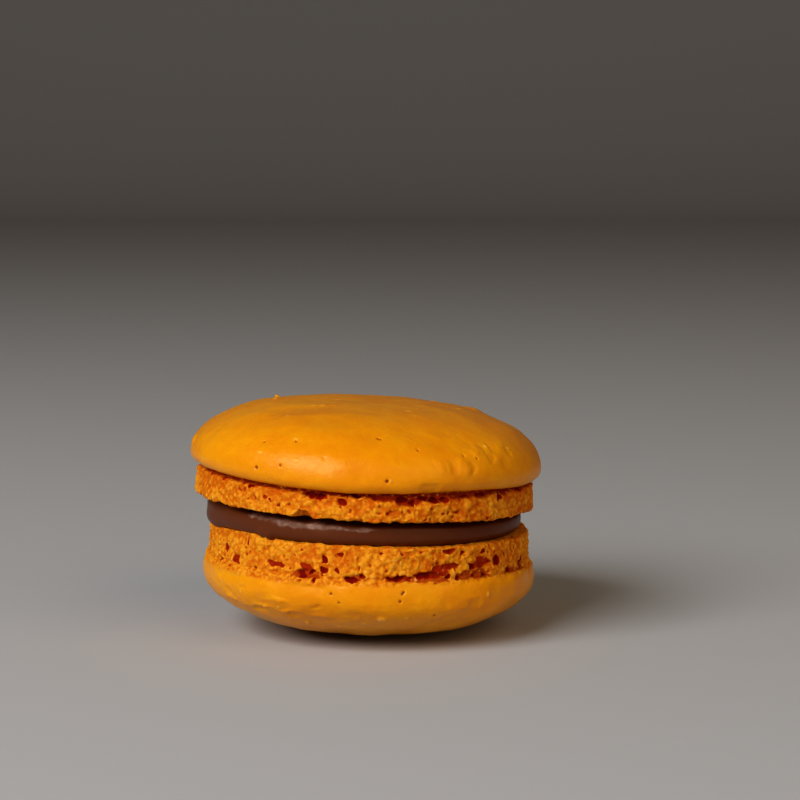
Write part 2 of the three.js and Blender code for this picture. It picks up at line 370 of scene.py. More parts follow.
# Blender's noise strays about a third from its middle value, and this makes that about 1.
NOISE_MIDDLE = 0.5
SWELL_GAIN = 3.2


def noise_at(place, size, shift, detail, roughness=0.5, output=0):
    """Blender's noise, with features about as wide as size in millimetres."""
    return place.nodes.add("ShaderNodeTexNoise", {"noise_dimensions": "4D"},
                           {"Vector": place, "W": shift, "Scale": 1 / (size * MM),
                            "Detail": detail, "Roughness": roughness}, output=output)


def swell(place, size, seed, detail=0.0):
    """Smooth random swells from about -1 to 1, each as wide as size in millimetres."""
    noise = noise_at(place, size, seed * NOISE_STRIDE, detail, roughness=0.6)
    return (noise - NOISE_MIDDLE) * SWELL_GAIN


def vector(operation, first, second):
    return first.nodes.add("ShaderNodeVectorMath", {"operation": operation},
                           {0: first, 1: second})


def stretched(place, along_x, along_y, along_z):
    return vector("MULTIPLY", place, (along_x, along_y, along_z))


def random_push(place, size, reach, shift, detail):
    """A random push in every direction, of up to about half of reach."""
    noise = noise_at(place, size, shift, detail, output="Color")
    push = vector("SUBTRACT", noise, (NOISE_MIDDLE,) * 3)
    return vector("MULTIPLY", push, (reach * MM,) * 3)


def bent(place, size, reach, seed):
    """The place, pushed a little at random, so that a pattern on it isn't regular."""
    return vector("ADD", place, random_push(place, size, reach, seed * NOISE_STRIDE, 1.0))


def grains(place, size, seed):
    """Random rounded grains of about the given size. The value is the distance from a grain's
    middle, in grains, and its Color output is the grain's own random colour."""
    moved = vector("ADD", place, tuple(seed * stride for stride in GRAIN_STRIDES))
    return place.nodes.add("ShaderNodeTexVoronoi", {"feature": "F1"},
                           {"Vector": moved, "Scale": 1 / (size * MM)})


def grain_luck(grain):
    """A random number from 0 to 1 that is the same all over a grain."""
    return grain.nodes.add("ShaderNodeSeparateXYZ", None, {"Vector": grain.output("Color")})


# ---- Modelling by hand -------------------------------------------------------

def select_nothing():
    bpy.ops.object.select_all(action="DESELECT")


def draw_outline(points):
    """Draws a line through the points, given as radius and height, and leaves it in edit mode."""
    select_nothing()
    bpy.ops.mesh.primitive_plane_add(size=MM)
    bpy.ops.object.mode_set(mode="EDIT")
    bpy.ops.mesh.merge(type="CENTER")
    places = [Vector((radius * MM, 0.0, height * MM)) for radius, height in points]
    bpy.ops.transform.translate(value=places[0])
    for start, end in zip(places, places[1:]):
        bpy.ops.mesh.extrude_region_move(TRANSFORM_OT_translate={"value": end - start})


def turn_outline(name, points, steps):
    """Turns an outline that starts and ends on the axis into a closed round body."""
    draw_outline(points)
    bpy.ops.object.mode_set(mode="OBJECT")
    body = bpy.context.object
    body.name = name
    finish_with(body, "SCREW", axis="Z", angle=math.tau, steps=steps, render_steps=steps,
                use_merge_vertices=True, merge_threshold=MERGE_DISTANCE)
    bpy.ops.object.mode_set(mode="EDIT")
    bpy.ops.mesh.select_all(action="SELECT")
    bpy.ops.mesh.remove_doubles(threshold=MERGE_DISTANCE)
    bpy.ops.mesh.normals_make_consistent(inside=False)
    bpy.ops.object.mode_set(mode="OBJECT")
    return body


def finish_with(body, kind, **settings):
    """Adds a modifier to the body and applies it."""
    bpy.context.view_layer.objects.active = body
    bpy.ops.object.modifier_add(type=kind)
    modifier = body.modifiers[-1]
    for name, setting in settings.items():
        setattr(modifier, name, setting)
    bpy.ops.object.modifier_apply(modifier=modifier.name)


def ganache_radius(share):
    """Radius of the ganache's bulging side, from its bottom at 0 to its top at 1."""
    return GANACHE_INNER_RADIUS + GANACHE_BULGE * (1 - abs(2 * share - 1) ** 3)


def ganache_end(side, share):
    """A point on the left (-1) or right (1) side of the ganache, whose top is tilted."""
    x = side * ganache_radius(share)
    z = GANACHE_THICKNESS * share - x * math.tan(UPPER_TILT) * share
    return Vector((x + GANACHE_SHIFT, 0.0, z + GANACHE_BOTTOM)) * MM


def find_macaron_frame():
    """The leaning frame of the whole macaron, found from where its ganache lies."""
    low, high = (Vector(corner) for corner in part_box("ganache"))
    lean = Matrix.Rotation(LEAN, 4, "Y")
    ends = [lean @ ganache_end(side, i / GANACHE_SIDE_POINTS)
            for side in (-1, 1) for i in range(GANACHE_SIDE_POINTS + 1)]
    across, upright = [end.x for end in ends], [end.z for end in ends]
    middle = Vector((min(across) + max(across), 0.0, min(upright) + max(upright))) / 2
    return Matrix.Translation((low + high) / 2 - middle) @ lean


MACARON = find_macaron_frame()


def put_in_place(body, height, shift, tilt=0.0, upside_down=False):
    """Puts a body made in its own frame at its height in the leaning macaron."""
    flip = Matrix.Rotation(math.pi if upside_down else 0.0, 4, "X")
    raised = Matrix.Translation((shift * MM, 0.0, height * MM))
    body.matrix_world = MACARON @ raised @ Matrix.Rotation(tilt, 4, "Y") @ flip
    select_nothing()
    body.select_set(True)
    bpy.context.view_layer.objects.active = body
    bpy.ops.object.transform_apply(location=True, rotation=True, scale=True)


def flatten_on_floor(body):
    """Cuts off what is below the floor, which leaves the flat spot the macaron stands on."""
    bpy.context.view_layer.objects.active = body
    bpy.ops.object.mode_set(mode="EDIT")
    bpy.ops.mesh.select_all(action="SELECT")
    bpy.ops.mesh.bisect(plane_co=(0.0, 0.0, 0.0), plane_no=(0.0, 0.0, 1.0),
                        clear_inner=True, use_fill=True, threshold=CUT_TOLERANCE)
    bpy.ops.object.mode_set(mode="OBJECT")


def steps_between(start, end, step):
    """Points from start up to, and not including, end, about one step apart."""
    count = max(1, round(math.dist(start, end) / step))
    return [(start[0] + (end[0] - start[0]) * i / count,
             start[1] + (end[1] - start[1]) * i / count) for i in range(count)]


# ---- Outline of a shell ------------------------------------------------------

FOOT_CORNER = 0.3
CORNER_STEPS = 4
UNDERSIDE_BAND = 2.4
UNDERSIDE_STEP = 2.0
GROOVE_LEDGE = 0.25
GROOVE_ROOF = 0.1


def foot_outline(shell):
    """From the middle of the foot's flat face, round its corner and up to the groove."""
    bottom, seam, top = shell["foot_bottom_radius"], shell["seam_radius"], shell["seam_height"]
    inner = bottom - UNDERSIDE_BAND
    points = steps_between((0.0, 0.0), (inner, 0.0), UNDERSIDE_STEP)
    points += steps_between((inner, 0.0), (bottom - FOOT_CORNER, 0.0), FOOT_STEP * 1.5)
    for i in range(CORNER_STEPS):
        turn = math.pi / 2 * i / CORNER_STEPS
        points.append((bottom - FOOT_CORNER * (1 - math.sin(turn)),
                       FOOT_CORNER * (1 - math.cos(turn))))
    groove, groove_bottom = seam - shell["groove_depth"], shell["groove_bottom"]
    corners = [(bottom, FOOT_CORNER), (seam, groove_bottom),
               (groove, groove_bottom + GROOVE_LEDGE), (groove, top - GROOVE_ROOF),
               (seam - GROOVE_ROOF, top)]
    for start, end in zip(corners, corners[1:]):
        points += steps_between(start, end, FOOT_STEP)
    return points


def dome_outline(shell):
    """From the groove, round the lip to the rim and over the dome to its middle."""
    seam, top = shell["seam_radius"], shell["seam_height"]
    rim, height = shell["rim_radius"], shell["rim_height"]
    apex = shell["apex_height"]
    points = []
    lip_steps = round(math.dist((seam, top), (rim, height)) / FOOT_STEP)
    for i in range(lip_steps):
        turn = math.pi / 2 * i / lip_steps
        points.append((seam - GROOVE_ROOF + (rim - seam + GROOVE_ROOF) * math.sin(turn),
                       height - (height - top) * math.cos(turn)))
    dome_steps = round((rim + apex - height) / DOME_STEP)
    for i in range(dome_steps):
        across = math.cos(math.pi / 2 * i / dome_steps)
        up = math.sqrt(1 - across ** shell["fullness"])
        points.append((rim * across, height + (apex - height) * up))
    points.append((0.0, apex))
    return points


def radius_at(shell, height):
    """Radius of a shell's side or dome at a height."""
    seam, top = shell["seam_radius"], shell["seam_height"]
    rim, rim_height = shell["rim_radius"], shell["rim_height"]
    if height <= top:
        bottom = shell["foot_bottom_radius"]
        return bottom + (seam - bottom) * height / top
    if height <= rim_height:
        turn = math.acos((rim_height - height) / (rim_height - top))
        return seam + (rim - seam) * math.sin(turn)
    up = (height - rim_height) / (shell["apex_height"] - rim_height)
    return rim * (1 - up ** 2) ** (1 / shell["fullness"])


def place_on(shell, bearing, height):
    """The point of a shell's surface at a bearing and a height, in metres."""
    turn, radius = math.radians(bearing), radius_at(shell, height)
    return Vector((radius * math.cos(turn), radius * math.sin(turn), height)) * MM


# ---- Marks, as masks that are 1 in the mark and 0 away from it ---------------

def length_of(away):
    """Length of a vector, in metres."""
    return away.nodes.add("ShaderNodeVectorMath", {"operation": "LENGTH"}, {0: away},
                          output="Value")


def spot(place, shell, bearing, height, half_width, half_height):
    """A soft round mark, or an oval one."""
    away = vector("SUBTRACT", place, place_on(shell, bearing, height))
    away = stretched(away, 1.0, 1.0, half_width / half_height)
    return rise(length_of(away) / (half_width * MM), 1.0, 0.35)


def pinhole(place, shell, bearing, height, radius, softness=0.3):
    """A small round mark with a sharper edge."""
    away = vector("SUBTRACT", place, place_on(shell, bearing, height))
    return rise(length_of(away) / (radius * MM), 1.0 + softness, 1.0 - softness)


def crease(place, shell, ends, half_width):
    """A line between two places."""
    start, end = place_on(shell, *ends[:2]), place_on(shell, *ends[2:])
    line = end - start
    away = vector("SUBTRACT", place, start)
    along = place.nodes.add("ShaderNodeVectorMath", {"operation": "DOT_PRODUCT"},
                            {0: away, 1: line / line.length_squared}, output="Value")
    nearest = place.nodes.add("ShaderNodeVectorMath", {"operation": "SCALE"},
                              {0: line, "Scale": along.at_least(0.0).at_most(1.0)})
    distance = length_of(vector("SUBTRACT", away, nearest))
    return rise(distance / (half_width * MM), 1.0, 0.1)


def deepest(masks):
    """The largest of several masks at each point."""
    masks = list(masks)
    result = masks[0]
    for mask in masks[1:]:
        result = result.at_least(mask)
    return result


def wave(bearing, height, crests, crest_bearing):
    """A slow wave round the shell, height high, with a crest at one bearing."""
    return height * ((bearing - crest_bearing) * math.radians(crests)).cosine()


# ---- Relief of a shell -------------------------------------------------------

PORE_SIZE = 0.7
PINPRICK_SIZE = 0.42
CRUMB_SIZE = 0.62
PINHOLE_DEPTH = 0.16
WRINKLE_DEPTH = 0.055

# The foot's flat face is plain. Its relief sets in between these distances from its edge.
FACE_RELIEF_START = 2.2
FACE_RELIEF_FULL = 1.2

# How high the rags and breaks of the foot's lower edge reach.
RAG_HEIGHT = 1.3
BREAK_HEIGHT = 1.6

# The heights over which the wave of the lip sets in, and over which it fades again.
LIP_WAVE_START = (2.2, 3.4)
LIP_WAVE_END = (6.5, 4.4)


def foam(uneven, size, seed, share, inner, outer):
    """Round pores of a baked foam: 1 inside them. Share is how many of the bubbles are open."""
    bubble = grains(uneven, size, seed)
    return rise(grain_luck(bubble), 1.05 - share, 1.15 - share) * rise(bubble, outer, inner)


def near_bearing(bearing, middle, half_width, radius):
    """1 close to a bearing, and 0 from half_width away from it, in millimetres."""
    reach = math.degrees(half_width / radius)
    turn = abs(bearing - middle)
    return rise(turn.at_most(360.0 - turn), reach, reach * 0.4)


def neck_of(shell, place, bearing, height):
    """The sunk band of the foot under the lip, which reaches lower in places: 1 inside it."""
    dips = [drop * near_bearing(bearing, middle, half_width, shell["seam_radius"])
            for middle, half_width, drop in shell["neck_dips"]]
    bottom = shell["neck_bottom"] - deepest(dips) + 0.16 * swell(place, 1.0, shell["seed"] + 18)
    top = shell["seam_height"] + 0.3
    return rise(height - bottom, -0.1, 0.25) * rise(height, top, top - 0.3)


def foot_relief(place, bearing, height, shell):
    """Outward relief of the foot in millimetres, how much red shade is painted into its pores,
    hollows and sunk neck, and how pale it is, partly its own tone and partly painted light, the
    last two from about 0 to about 1."""
    seed, groove = shell["seed"], shell["groove_bottom"]
    uneven = bent(place, 0.9, 0.8, seed)
    pores = foam(uneven, PORE_SIZE, seed, share=0.32, inner=0.16, outer=0.5)
    pinpricks = foam(uneven, PINPRICK_SIZE, seed + 3, share=0.3, inner=0.12, outer=0.46)
    lumps = swell(stretched(uneven, 1.0, 1.0, 1.2), 1.2, seed + 5, 0.5)
    crumb = grains(bent(place, 0.5, 0.25, seed + 19), CRUMB_SIZE, seed + 6)
    crumbs = (0.5 - crumb) * (0.9 + 1.6 * grain_luck(crumb))
    crags = 0.18 * swell(uneven, 2.6, seed + 1, 1.0) + 0.12 * swell(place, 6.5, seed + 2)
    neck = neck_of(shell, uneven, bearing, height)
    sunk = shell["neck_depth"] * neck * rise(height, groove + 0.2, groove - 0.1)
    patchy = swell(stretched(uneven, 0.6, 0.6, 1.3), 1.9, seed + 4)
    rents = 0.6 * rise(patchy, 1.0, 1.3)
    torn = bent(uneven, 0.45, 0.5, seed + 40)
    marks = [(depth, spot(torn, shell, bearing, up, half_width * 1.3, half_height * 1.35))
             for bearing, up, half_width, half_height, depth in shell["hollows"]]
    cavities = deepest([rents] + [depth * mark for depth, mark in marks])
    # Painted shade: how dark red the rents and the marked hollows are painted.
    dark = deepest([rents] + [min(depth, 1.0) * rise(mark, 0.1, 0.9) for depth, mark in marks])
    rough = 1 - 0.4 * neck
    pits = rough * (0.18 * pores + 0.09 * pinpricks)
    # Painted shade: red is painted into the pores, the pinpricks, the marked hollows, the rents and
    # the sunk neck in the lip's shadow, and less onto raised crumbs.
    hollow_shade = (rough * (0.32 * pores).at_least(0.22 * pinpricks)).at_least(dark)
    hollow_shade = hollow_shade.at_least(shell["neck_painted_shadow"] * neck) - 0.35 * (crumbs - 0.25).at_least(0.0)
    # Painted shade: the crumb is less pale towards the groove under the lip, and paler there where
    # the shell's value is below 0.
    shade = shell["neck_shade"] * rise(height, groove - 1.6, groove)
    # Paleness is partly the crumb's own tone at random and partly painted light, as raised lumps
    # and grains are paler.
    pale = 0.5 + 0.24 * lumps + 0.5 * crumbs + 0.2 * swell(place, 3.4, seed + 15) - shade
    relief = (rough * (0.12 * lumps + 0.1 * crumbs) + crags - pits - sunk
              - shell["hollow_depth"] * cavities)
    return relief, hollow_shade, pale


def skin_relief(place, shell):
    """Outward relief of the dome's skin in millimetres."""
    seed = shell["seed"]
    flat = stretched(place, 1.0, 1.0, 1.5)
    waves = (0.08 * swell(place, 14.0, seed + 7) + 0.085 * swell(flat, 4.5, seed + 8)
             + 0.038 * swell(flat, 2.1, seed + 16, 0.5))
    grain = 0.011 * swell(flat, 1.1, seed + 9, 1.5)
    uneven = bent(place, 1.8, 1.3, seed + 10)
    broken = rise(swell(uneven, 1.7, seed + 12), -0.7, 0.5)
    dents = [stand * spot(uneven, shell, bearing, up, half_width, half_height)
             for bearing, up, half_width, half_height, stand in shell["bumps"]]
    near = bent(place, 0.8, 0.3, seed)
    flecks = [stand * spot(near, shell, bearing, up, half_width, half_height)
              for bearing, up, half_width, half_height, stand in shell["flecks"]]
    creases = [stand * crease(uneven, shell, ends, half_width)
               for *ends, half_width, stand in shell["ridges"]]
    wrinkled = WRINKLE_DEPTH * deepest(spot(uneven, shell, *mark) for mark in shell["wrinkles"])
    wrinkles = wrinkled * swell(stretched(uneven, 1.0, 1.0, 0.7), 2.2, seed + 14, 1.0)
    pricks = [-PINHOLE_DEPTH * pinhole(place, shell, bearing, up, radius * 1.1, softness=0.5)
              for bearing, up, radius in shell["pinholes"]]
    lines = broken * sum(creases[1:], creases[0])
    surface = lines + shell["skin_roughness"] * (waves + grain + wrinkles)
    return sum(dents + flecks + pricks, surface)


def ragged_edge(place, height, shell):
    """Upward shift in millimetres of the foot's lower edge, which hangs in uneven crumbs."""
    seed = shell["seed"]
    rag = 0.1 * swell(place, 2.4, seed + 30) + 0.06 * swell(place, 1.1, seed + 31)
    for bearing, half_width, shift in shell["edge_breaks"]:
        rag = rag + shift * spot(place, shell, bearing, 0.0, half_width, BREAK_HEIGHT)
    return rise(height, RAG_HEIGHT, 0.0) * rag


def shake(place, seed):
    """A small random push of each point in every direction, which gives crumbs overhangs."""
    return random_push(place, 0.9, 0.5, seed * SHAKE_STRIDE, 0.6)


def scaled(direction, amount):
    return direction.nodes.add("ShaderNodeVectorMath", {"operation": "SCALE"},
                               {0: direction, "Scale": amount})


def upward(amount):
    return amount.nodes.add("ShaderNodeCombineXYZ", None, {"Z": amount})


def keep(geometry, name, value, data_type="FLOAT"):
    """The geometry, with a value kept on its points under a name."""
    return geometry.nodes.add("GeometryNodeStoreNamedAttribute",
                              {"data_type": data_type, "domain": "POINT"},
                              {"Geometry": geometry, "Name": name, "Value": value})


def new_relief(name):
    """A new tree of geometry nodes, and the body, places and normals that go in."""
    tree = bpy.data.node_groups.new(name, "GeometryNodeTree")
    tree.interface.new_socket("Geometry", in_out="INPUT", socket_type="NodeSocketGeometry")
    tree.interface.new_socket("Geometry", in_out="OUTPUT", socket_type="NodeSocketGeometry")
    nodes = Nodes(tree)
    return (tree, nodes, nodes.add("NodeGroupInput", output="Geometry"),
            nodes.add("GeometryNodeInputPosition"), nodes.add("GeometryNodeInputNormal"))


def round_coordinates(place):
    """Bearing in degrees, distance from the axis and height in millimetres."""
    axes = place.nodes.add("ShaderNodeSeparateXYZ", None, {"Vector": place})
    x, y = axes.output("X"), axes.output("Y")
    bearing = y.maths("ARCTAN2", y, x) * math.degrees(1.0)
    return bearing, (x ** 2 + y ** 2) ** 0.5 / MM, axes.output("Z") / MM


def build_relief(shell):
    """Geometry nodes that roughen a shell's foot and give its dome its skin."""
    tree, nodes, body, place, normal = new_relief("relief_of_" + shell["name"])
    bearing, radius, height = round_coordinates(place)
    seed = shell["seed"]

    unevenness = 0.14 * swell(place, 5.0, seed + 20) + 0.08 * swell(place, 1.5, seed + 21)
    edge = (shell["skin_edge"] + wave(bearing, *shell["edge_wave"])
            + shell["edge_unevenness"] * unevenness)
    crumb = rise(height - edge, shell["skin_blend"], -shell["skin_blend"])
    face_edge = shell["foot_bottom_radius"]
    outside = rise(radius, face_edge - FACE_RELIEF_START, face_edge - FACE_RELIEF_FULL)
    foot, hollow_shade, pale = foot_relief(place, bearing, height, shell)
    outward = vector("MULTIPLY", place, (1.0, 1.0, 0.0))
    outward = scaled(outward, 1 / (radius * MM).at_least(MM))
    skin = scaled(normal, (1 - crumb) * skin_relief(place, shell) * MM)
    lip = wave(bearing, *shell["lip_wave"])
    lip = lip * rise(height, *LIP_WAVE_START) * rise(height, *LIP_WAVE_END)
    lift = lip + ragged_edge(place, height, shell) * crumb * outside
    offset = vector("ADD", skin, scaled(outward, crumb * outside * foot * MM))
    offset = vector("ADD", offset, upward(lift * MM))
    offset = vector("ADD", offset, scaled(shake(place, seed), crumb * outside))

    # The materials read these, which are worked out before the points move.
    kept = keep(body, "own_place", place, "FLOAT_VECTOR")
    kept = keep(kept, "crumb", crumb)
    # The painted red shade of the foot's pores, hollows and sunk neck.
    kept = keep(kept, "hollow_shade", crumb * outside * hollow_shade)
    # The crumb's paleness: partly its own tone, partly painted light on its raised grains.
    kept = keep(kept, "pale", pale)
    moved = nodes.add("GeometryNodeSetPosition", None, {"Geometry": kept, "Offset": offset})
    nodes.add("NodeGroupOutput", None, {"Geometry": moved})
    return tree


def make_shell(shell):
    body = turn_outline(shell["name"], foot_outline(shell) + dome_outline(shell), TURN_STEPS)
    finish_with(body, "NODES", node_group=build_relief(shell))
    body.data.calc_loop_triangles()
    ratio = SHELL_TRIANGLES / len(body.data.loop_triangles)
    if ratio < 1:
        finish_with(body, "DECIMATE", ratio=ratio)
    bpy.ops.object.shade_smooth()
    return body


# ---- Ganache -----------------------------------------------------------------

# Rough, dried patches on the ganache, painted paler, partly as a highlight where the light catches
# them: bearing, height, half width, half height.
SCUFF_HIGHLIGHTS = [
    (-131.0, 2.1, 1.7, 0.4), (-124.5, 2.15, 1.3, 0.35), (-119.5, 1.9, 1.3, 0.45),
    (-113.0, 1.85, 1.7, 0.4), (-105.5, 1.85, 1.9, 0.45), (-99.5, 1.85, 1.3, 0.35),
    (-91.0, 1.75, 2.2, 0.25), (35.0, 1.7, 2.4, 0.4), (60.0, 1.8, 1.8, 0.3),
    (95.0, 1.7, 2.6, 0.35), (128.0, 1.8, 2.2, 0.35),
]

# Where the ganache hangs over the edge of the lower foot: bearing, half width, drop.
SAGS = [(-126.5, 1.3, 0.3), (-168.0, 6.0, 0.45), (80.0, 5.0, 0.35)]

# The gap over the ganache's top edge: the bearings over which it opens, and over which it closes.
FRONT_GAP = ((-152.0, -128.0), (14.0, -8.0))
BACK_GAP = ((15.0, 40.0), (170.0, 140.0))
GAP_DEPTH = 2.4

# Where these set in on the ganache: its side, from its flat faces outwards, and by height its
# sags, downwards, and its gap, upwards.
SIDE_RADII = (18.6, 19.4)
SAG_HEIGHTS = (1.3, 0.1)
GAP_HEIGHTS = (2.1, 2.55)


def ganache_outline():
    """From the middle of the ganache's bottom, round its side and to the middle of its top. It
    reaches into both layer gaps, and its flat faces, which the feet hide, have few points."""
    bottom, top = -LAYER_GAP, GANACHE_THICKNESS + LAYER_GAP * 0.5
    points = [(0.0, bottom), (10.0, bottom)]
    points += steps_between((17.0, bottom), (GANACHE_INNER_RADIUS - 0.2, bottom), 0.5)
    for i in range(GANACHE_ROWS + 1):
        up = bottom + (top - bottom) * i / GANACHE_ROWS
        points.append((ganache_radius(i / GANACHE_ROWS), up))
    points += [(18.0, top), (10.0, top), (0.0, top)]
    return points


def scuffs_and_highlights(place):
    """The rough, dried patches of the ganache, which also carry a painted highlight, from 0 to 1.
    """
    uneven = bent(place, 1.0, 0.9, GANACHE_SEED)
    patches = []
    for bearing, height, half_width, half_height in SCUFF_HIGHLIGHTS:
        turn = math.radians(bearing)
        radius = ganache_radius(height / GANACHE_THICKNESS)
        middle = Vector((radius * math.cos(turn), radius * math.sin(turn), height)) * MM
        away = stretched(vector("SUBTRACT", uneven, middle), 1.0, 1.0, half_width / half_height)
        patches.append(rise(length_of(away) / (half_width * MM), 1.15, 0.55))
    return deepest(patches)


def sagging(bearing, height):
    """How far the ganache's lower edge hangs down, in millimetres."""
    drops = []
    for middle, half_width, drop in SAGS:
        drops.append(drop * near_bearing(bearing, middle, half_width, GANACHE_INNER_RADIUS))
    return deepest(drops) * rise(height, *SAG_HEIGHTS)


def build_ganache_relief():
    """Geometry nodes that make the ganache uneven and tilt its top. Its top edge is set back
    where the upper foot doesn't press on it, which leaves a dark gap."""
    tree, nodes, body, place, normal = new_relief("relief_of_ganache")
    bearing, radius, height = round_coordinates(place)
    side = rise(radius, *SIDE_RADII)
    seed = GANACHE_SEED
    slow = 0.14 * swell(stretched(place, 1.0, 1.0, 0.4), 7.0, seed)
    ripple = 0.03 * swell(stretched(place, 1.0, 1.0, 2.0), 2.4, seed + 1)
    rough = scuffs_and_highlights(place)
    grit = 0.05 * swell(place, 0.5, seed + 3, 1.0) - 0.03
    front_gap = rise(bearing, *FRONT_GAP[0]) * rise(bearing, *FRONT_GAP[1])
    back_gap = rise(swell(place, 9.0, seed + 5), -0.5, 0.4) * rise(bearing, *BACK_GAP[0])
    gap = front_gap.at_least(back_gap * rise(bearing, *BACK_GAP[1]))
    ceiling = rise(height + 0.06 * swell(place, 3.0, seed + 6), *GAP_HEIGHTS)
    relief = side * (slow + ripple + rough * grit) - GAP_DEPTH * gap * ceiling
    sag = sagging(bearing, height) * side
    tilt = nodes.add("ShaderNodeSeparateXYZ", None, {"Vector": place}).output("X")
    tilt = tilt * math.tan(UPPER_TILT) * (height / GANACHE_THICKNESS).at_least(0.0)
    flat = vector("MULTIPLY", normal, (1.0, 1.0, 0.0))
    offset = vector("ADD", scaled(flat, (relief + 0.5 * sag) * MM), upward(-1 * sag * MM - tilt))
    # The scuffed patches, which the material paints paler, partly as a highlight.
    kept = keep(body, "scuffs_and_highlights", rough * side)
    moved = nodes.add("GeometryNodeSetPosition", None, {"Geometry": kept, "Offset": offset})
    nodes.add("NodeGroupOutput", None, {"Geometry": moved})
    return tree


def make_ganache():
    body = turn_outline("ganache_layer", ganache_outline(), GANACHE_STEPS)
    finish_with(body, "NODES", node_group=build_ganache_relief())
    bpy.ops.object.shade_smooth()
    return body


# ---- Materials ---------------------------------------------------------------

def new_material(name):
    material = bpy.data.materials.new(name)
    material.use_nodes = True
    material.node_tree.nodes.clear()
    return material, Nodes(material.node_tree)


def attribute(nodes, name, output="Fac"):
    return nodes.add("ShaderNodeAttribute", {"attribute_name": name}, output=output)


def mix_colour(factor, first, second):
    """A mix of two colours. On a Mix node these have the sockets 6 and 7, and output 2."""
    return factor.nodes.add("ShaderNodeMix", {"data_type": "RGBA"},
                            {0: factor, 6: first, 7: second}, output=2)


def bumped(height, distance, strength):
    return height.nodes.add("ShaderNodeBump", None, {
        "Height": height, "Distance": distance * MM, "Strength": strength})


# Deep and pale are the ends of a surface's range of colours.
SKIN_DEEP = (0.74, 0.245, 0.0006, 1.0)
SKIN_PALE = (0.84, 0.365, 0.003, 1.0)
SKIN_FLECK = (0.88, 0.45, 0.06, 1.0)
# Painted shade inside the skin's pinholes.
PINHOLE_PAINTED_SHADE = (0.26, 0.045, 0.001, 1.0)
CRUMB_DEEP = (0.55, 0.12, 0.002, 1.0)
CRUMB_PALE = (0.77, 0.33, 0.017, 1.0)
# A painted highlight on the tips of the crumb's grains.
CRUMB_PAINTED_HIGHLIGHT = (0.93, 0.46, 0.18, 1.0)
# Painted shade, red, in the crumb's pores and sunk neck, and darker in its deep hollows.
PORE_PAINTED_SHADE = (0.33, 0.021, 0.0008, 1.0)
HOLLOW_PAINTED_SHADE = (0.20, 0.0032, 0.0007, 1.0)
WARM_SHINE = (1.0, 0.84, 0.5, 1.0)

# How far red, green and blue light go into meringue, as shares of its soft reach.
SOFT_RADIUS = (1.0, 0.3, 0.03)

# A pinhole of this radius gets the full painted shade inside, and a smaller one less.
FULLY_SHADED_PINHOLE = 0.2


def baked_surface(colour, roughness, shine, normal, soft, soft_reach):
    """Meringue that light sinks into a little: soft is how much, soft_reach how far in mm."""
    return colour.nodes.add("ShaderNodeBsdfPrincipled", {"subsurface_method": "RANDOM_WALK"}, {
        "Base Color": colour,
        "Roughness": roughness,
        "Normal": normal,
        "IOR": 1.4,
        "Specular IOR Level": shine,
        "Specular Tint": WARM_SHINE,
        "Subsurface Weight": soft,
        "Subsurface Radius": SOFT_RADIUS,
        "Subsurface Scale": soft_reach * MM,
    })


def skin_colours(place, own_place, shell):
    """Colour of a dome's skin, with its mottling, pale flecks and painted shade inside its
    pinholes.
    """
    slow = rise(swell(place, 7.0, 5, 2.0), -1.0, 1.0)
    fine = rise(swell(place, 0.9, 15, 2.0), -1.0, 1.0)
    colour = mix_colour(0.7 * slow + 0.3 * fine, SKIN_DEEP, SKIN_PALE)
    flecks = [spot(own_place, shell, bearing, up, half_width, half_height)
              for bearing, up, half_width, half_height, _ in shell["flecks"]]
    colour = mix_colour(0.6 * deepest(flecks), colour, SKIN_FLECK)
    # Painted shade inside the pinholes, full in the larger ones.
    pinhole_shade = [min(1.0, radius / FULLY_SHADED_PINHOLE) * pinhole(own_place, shell, bearing, up, radius)
             for bearing, up, radius in shell["pinholes"]]
    return mix_colour(deepest(pinhole_shade), colour, PINHOLE_PAINTED_SHADE)


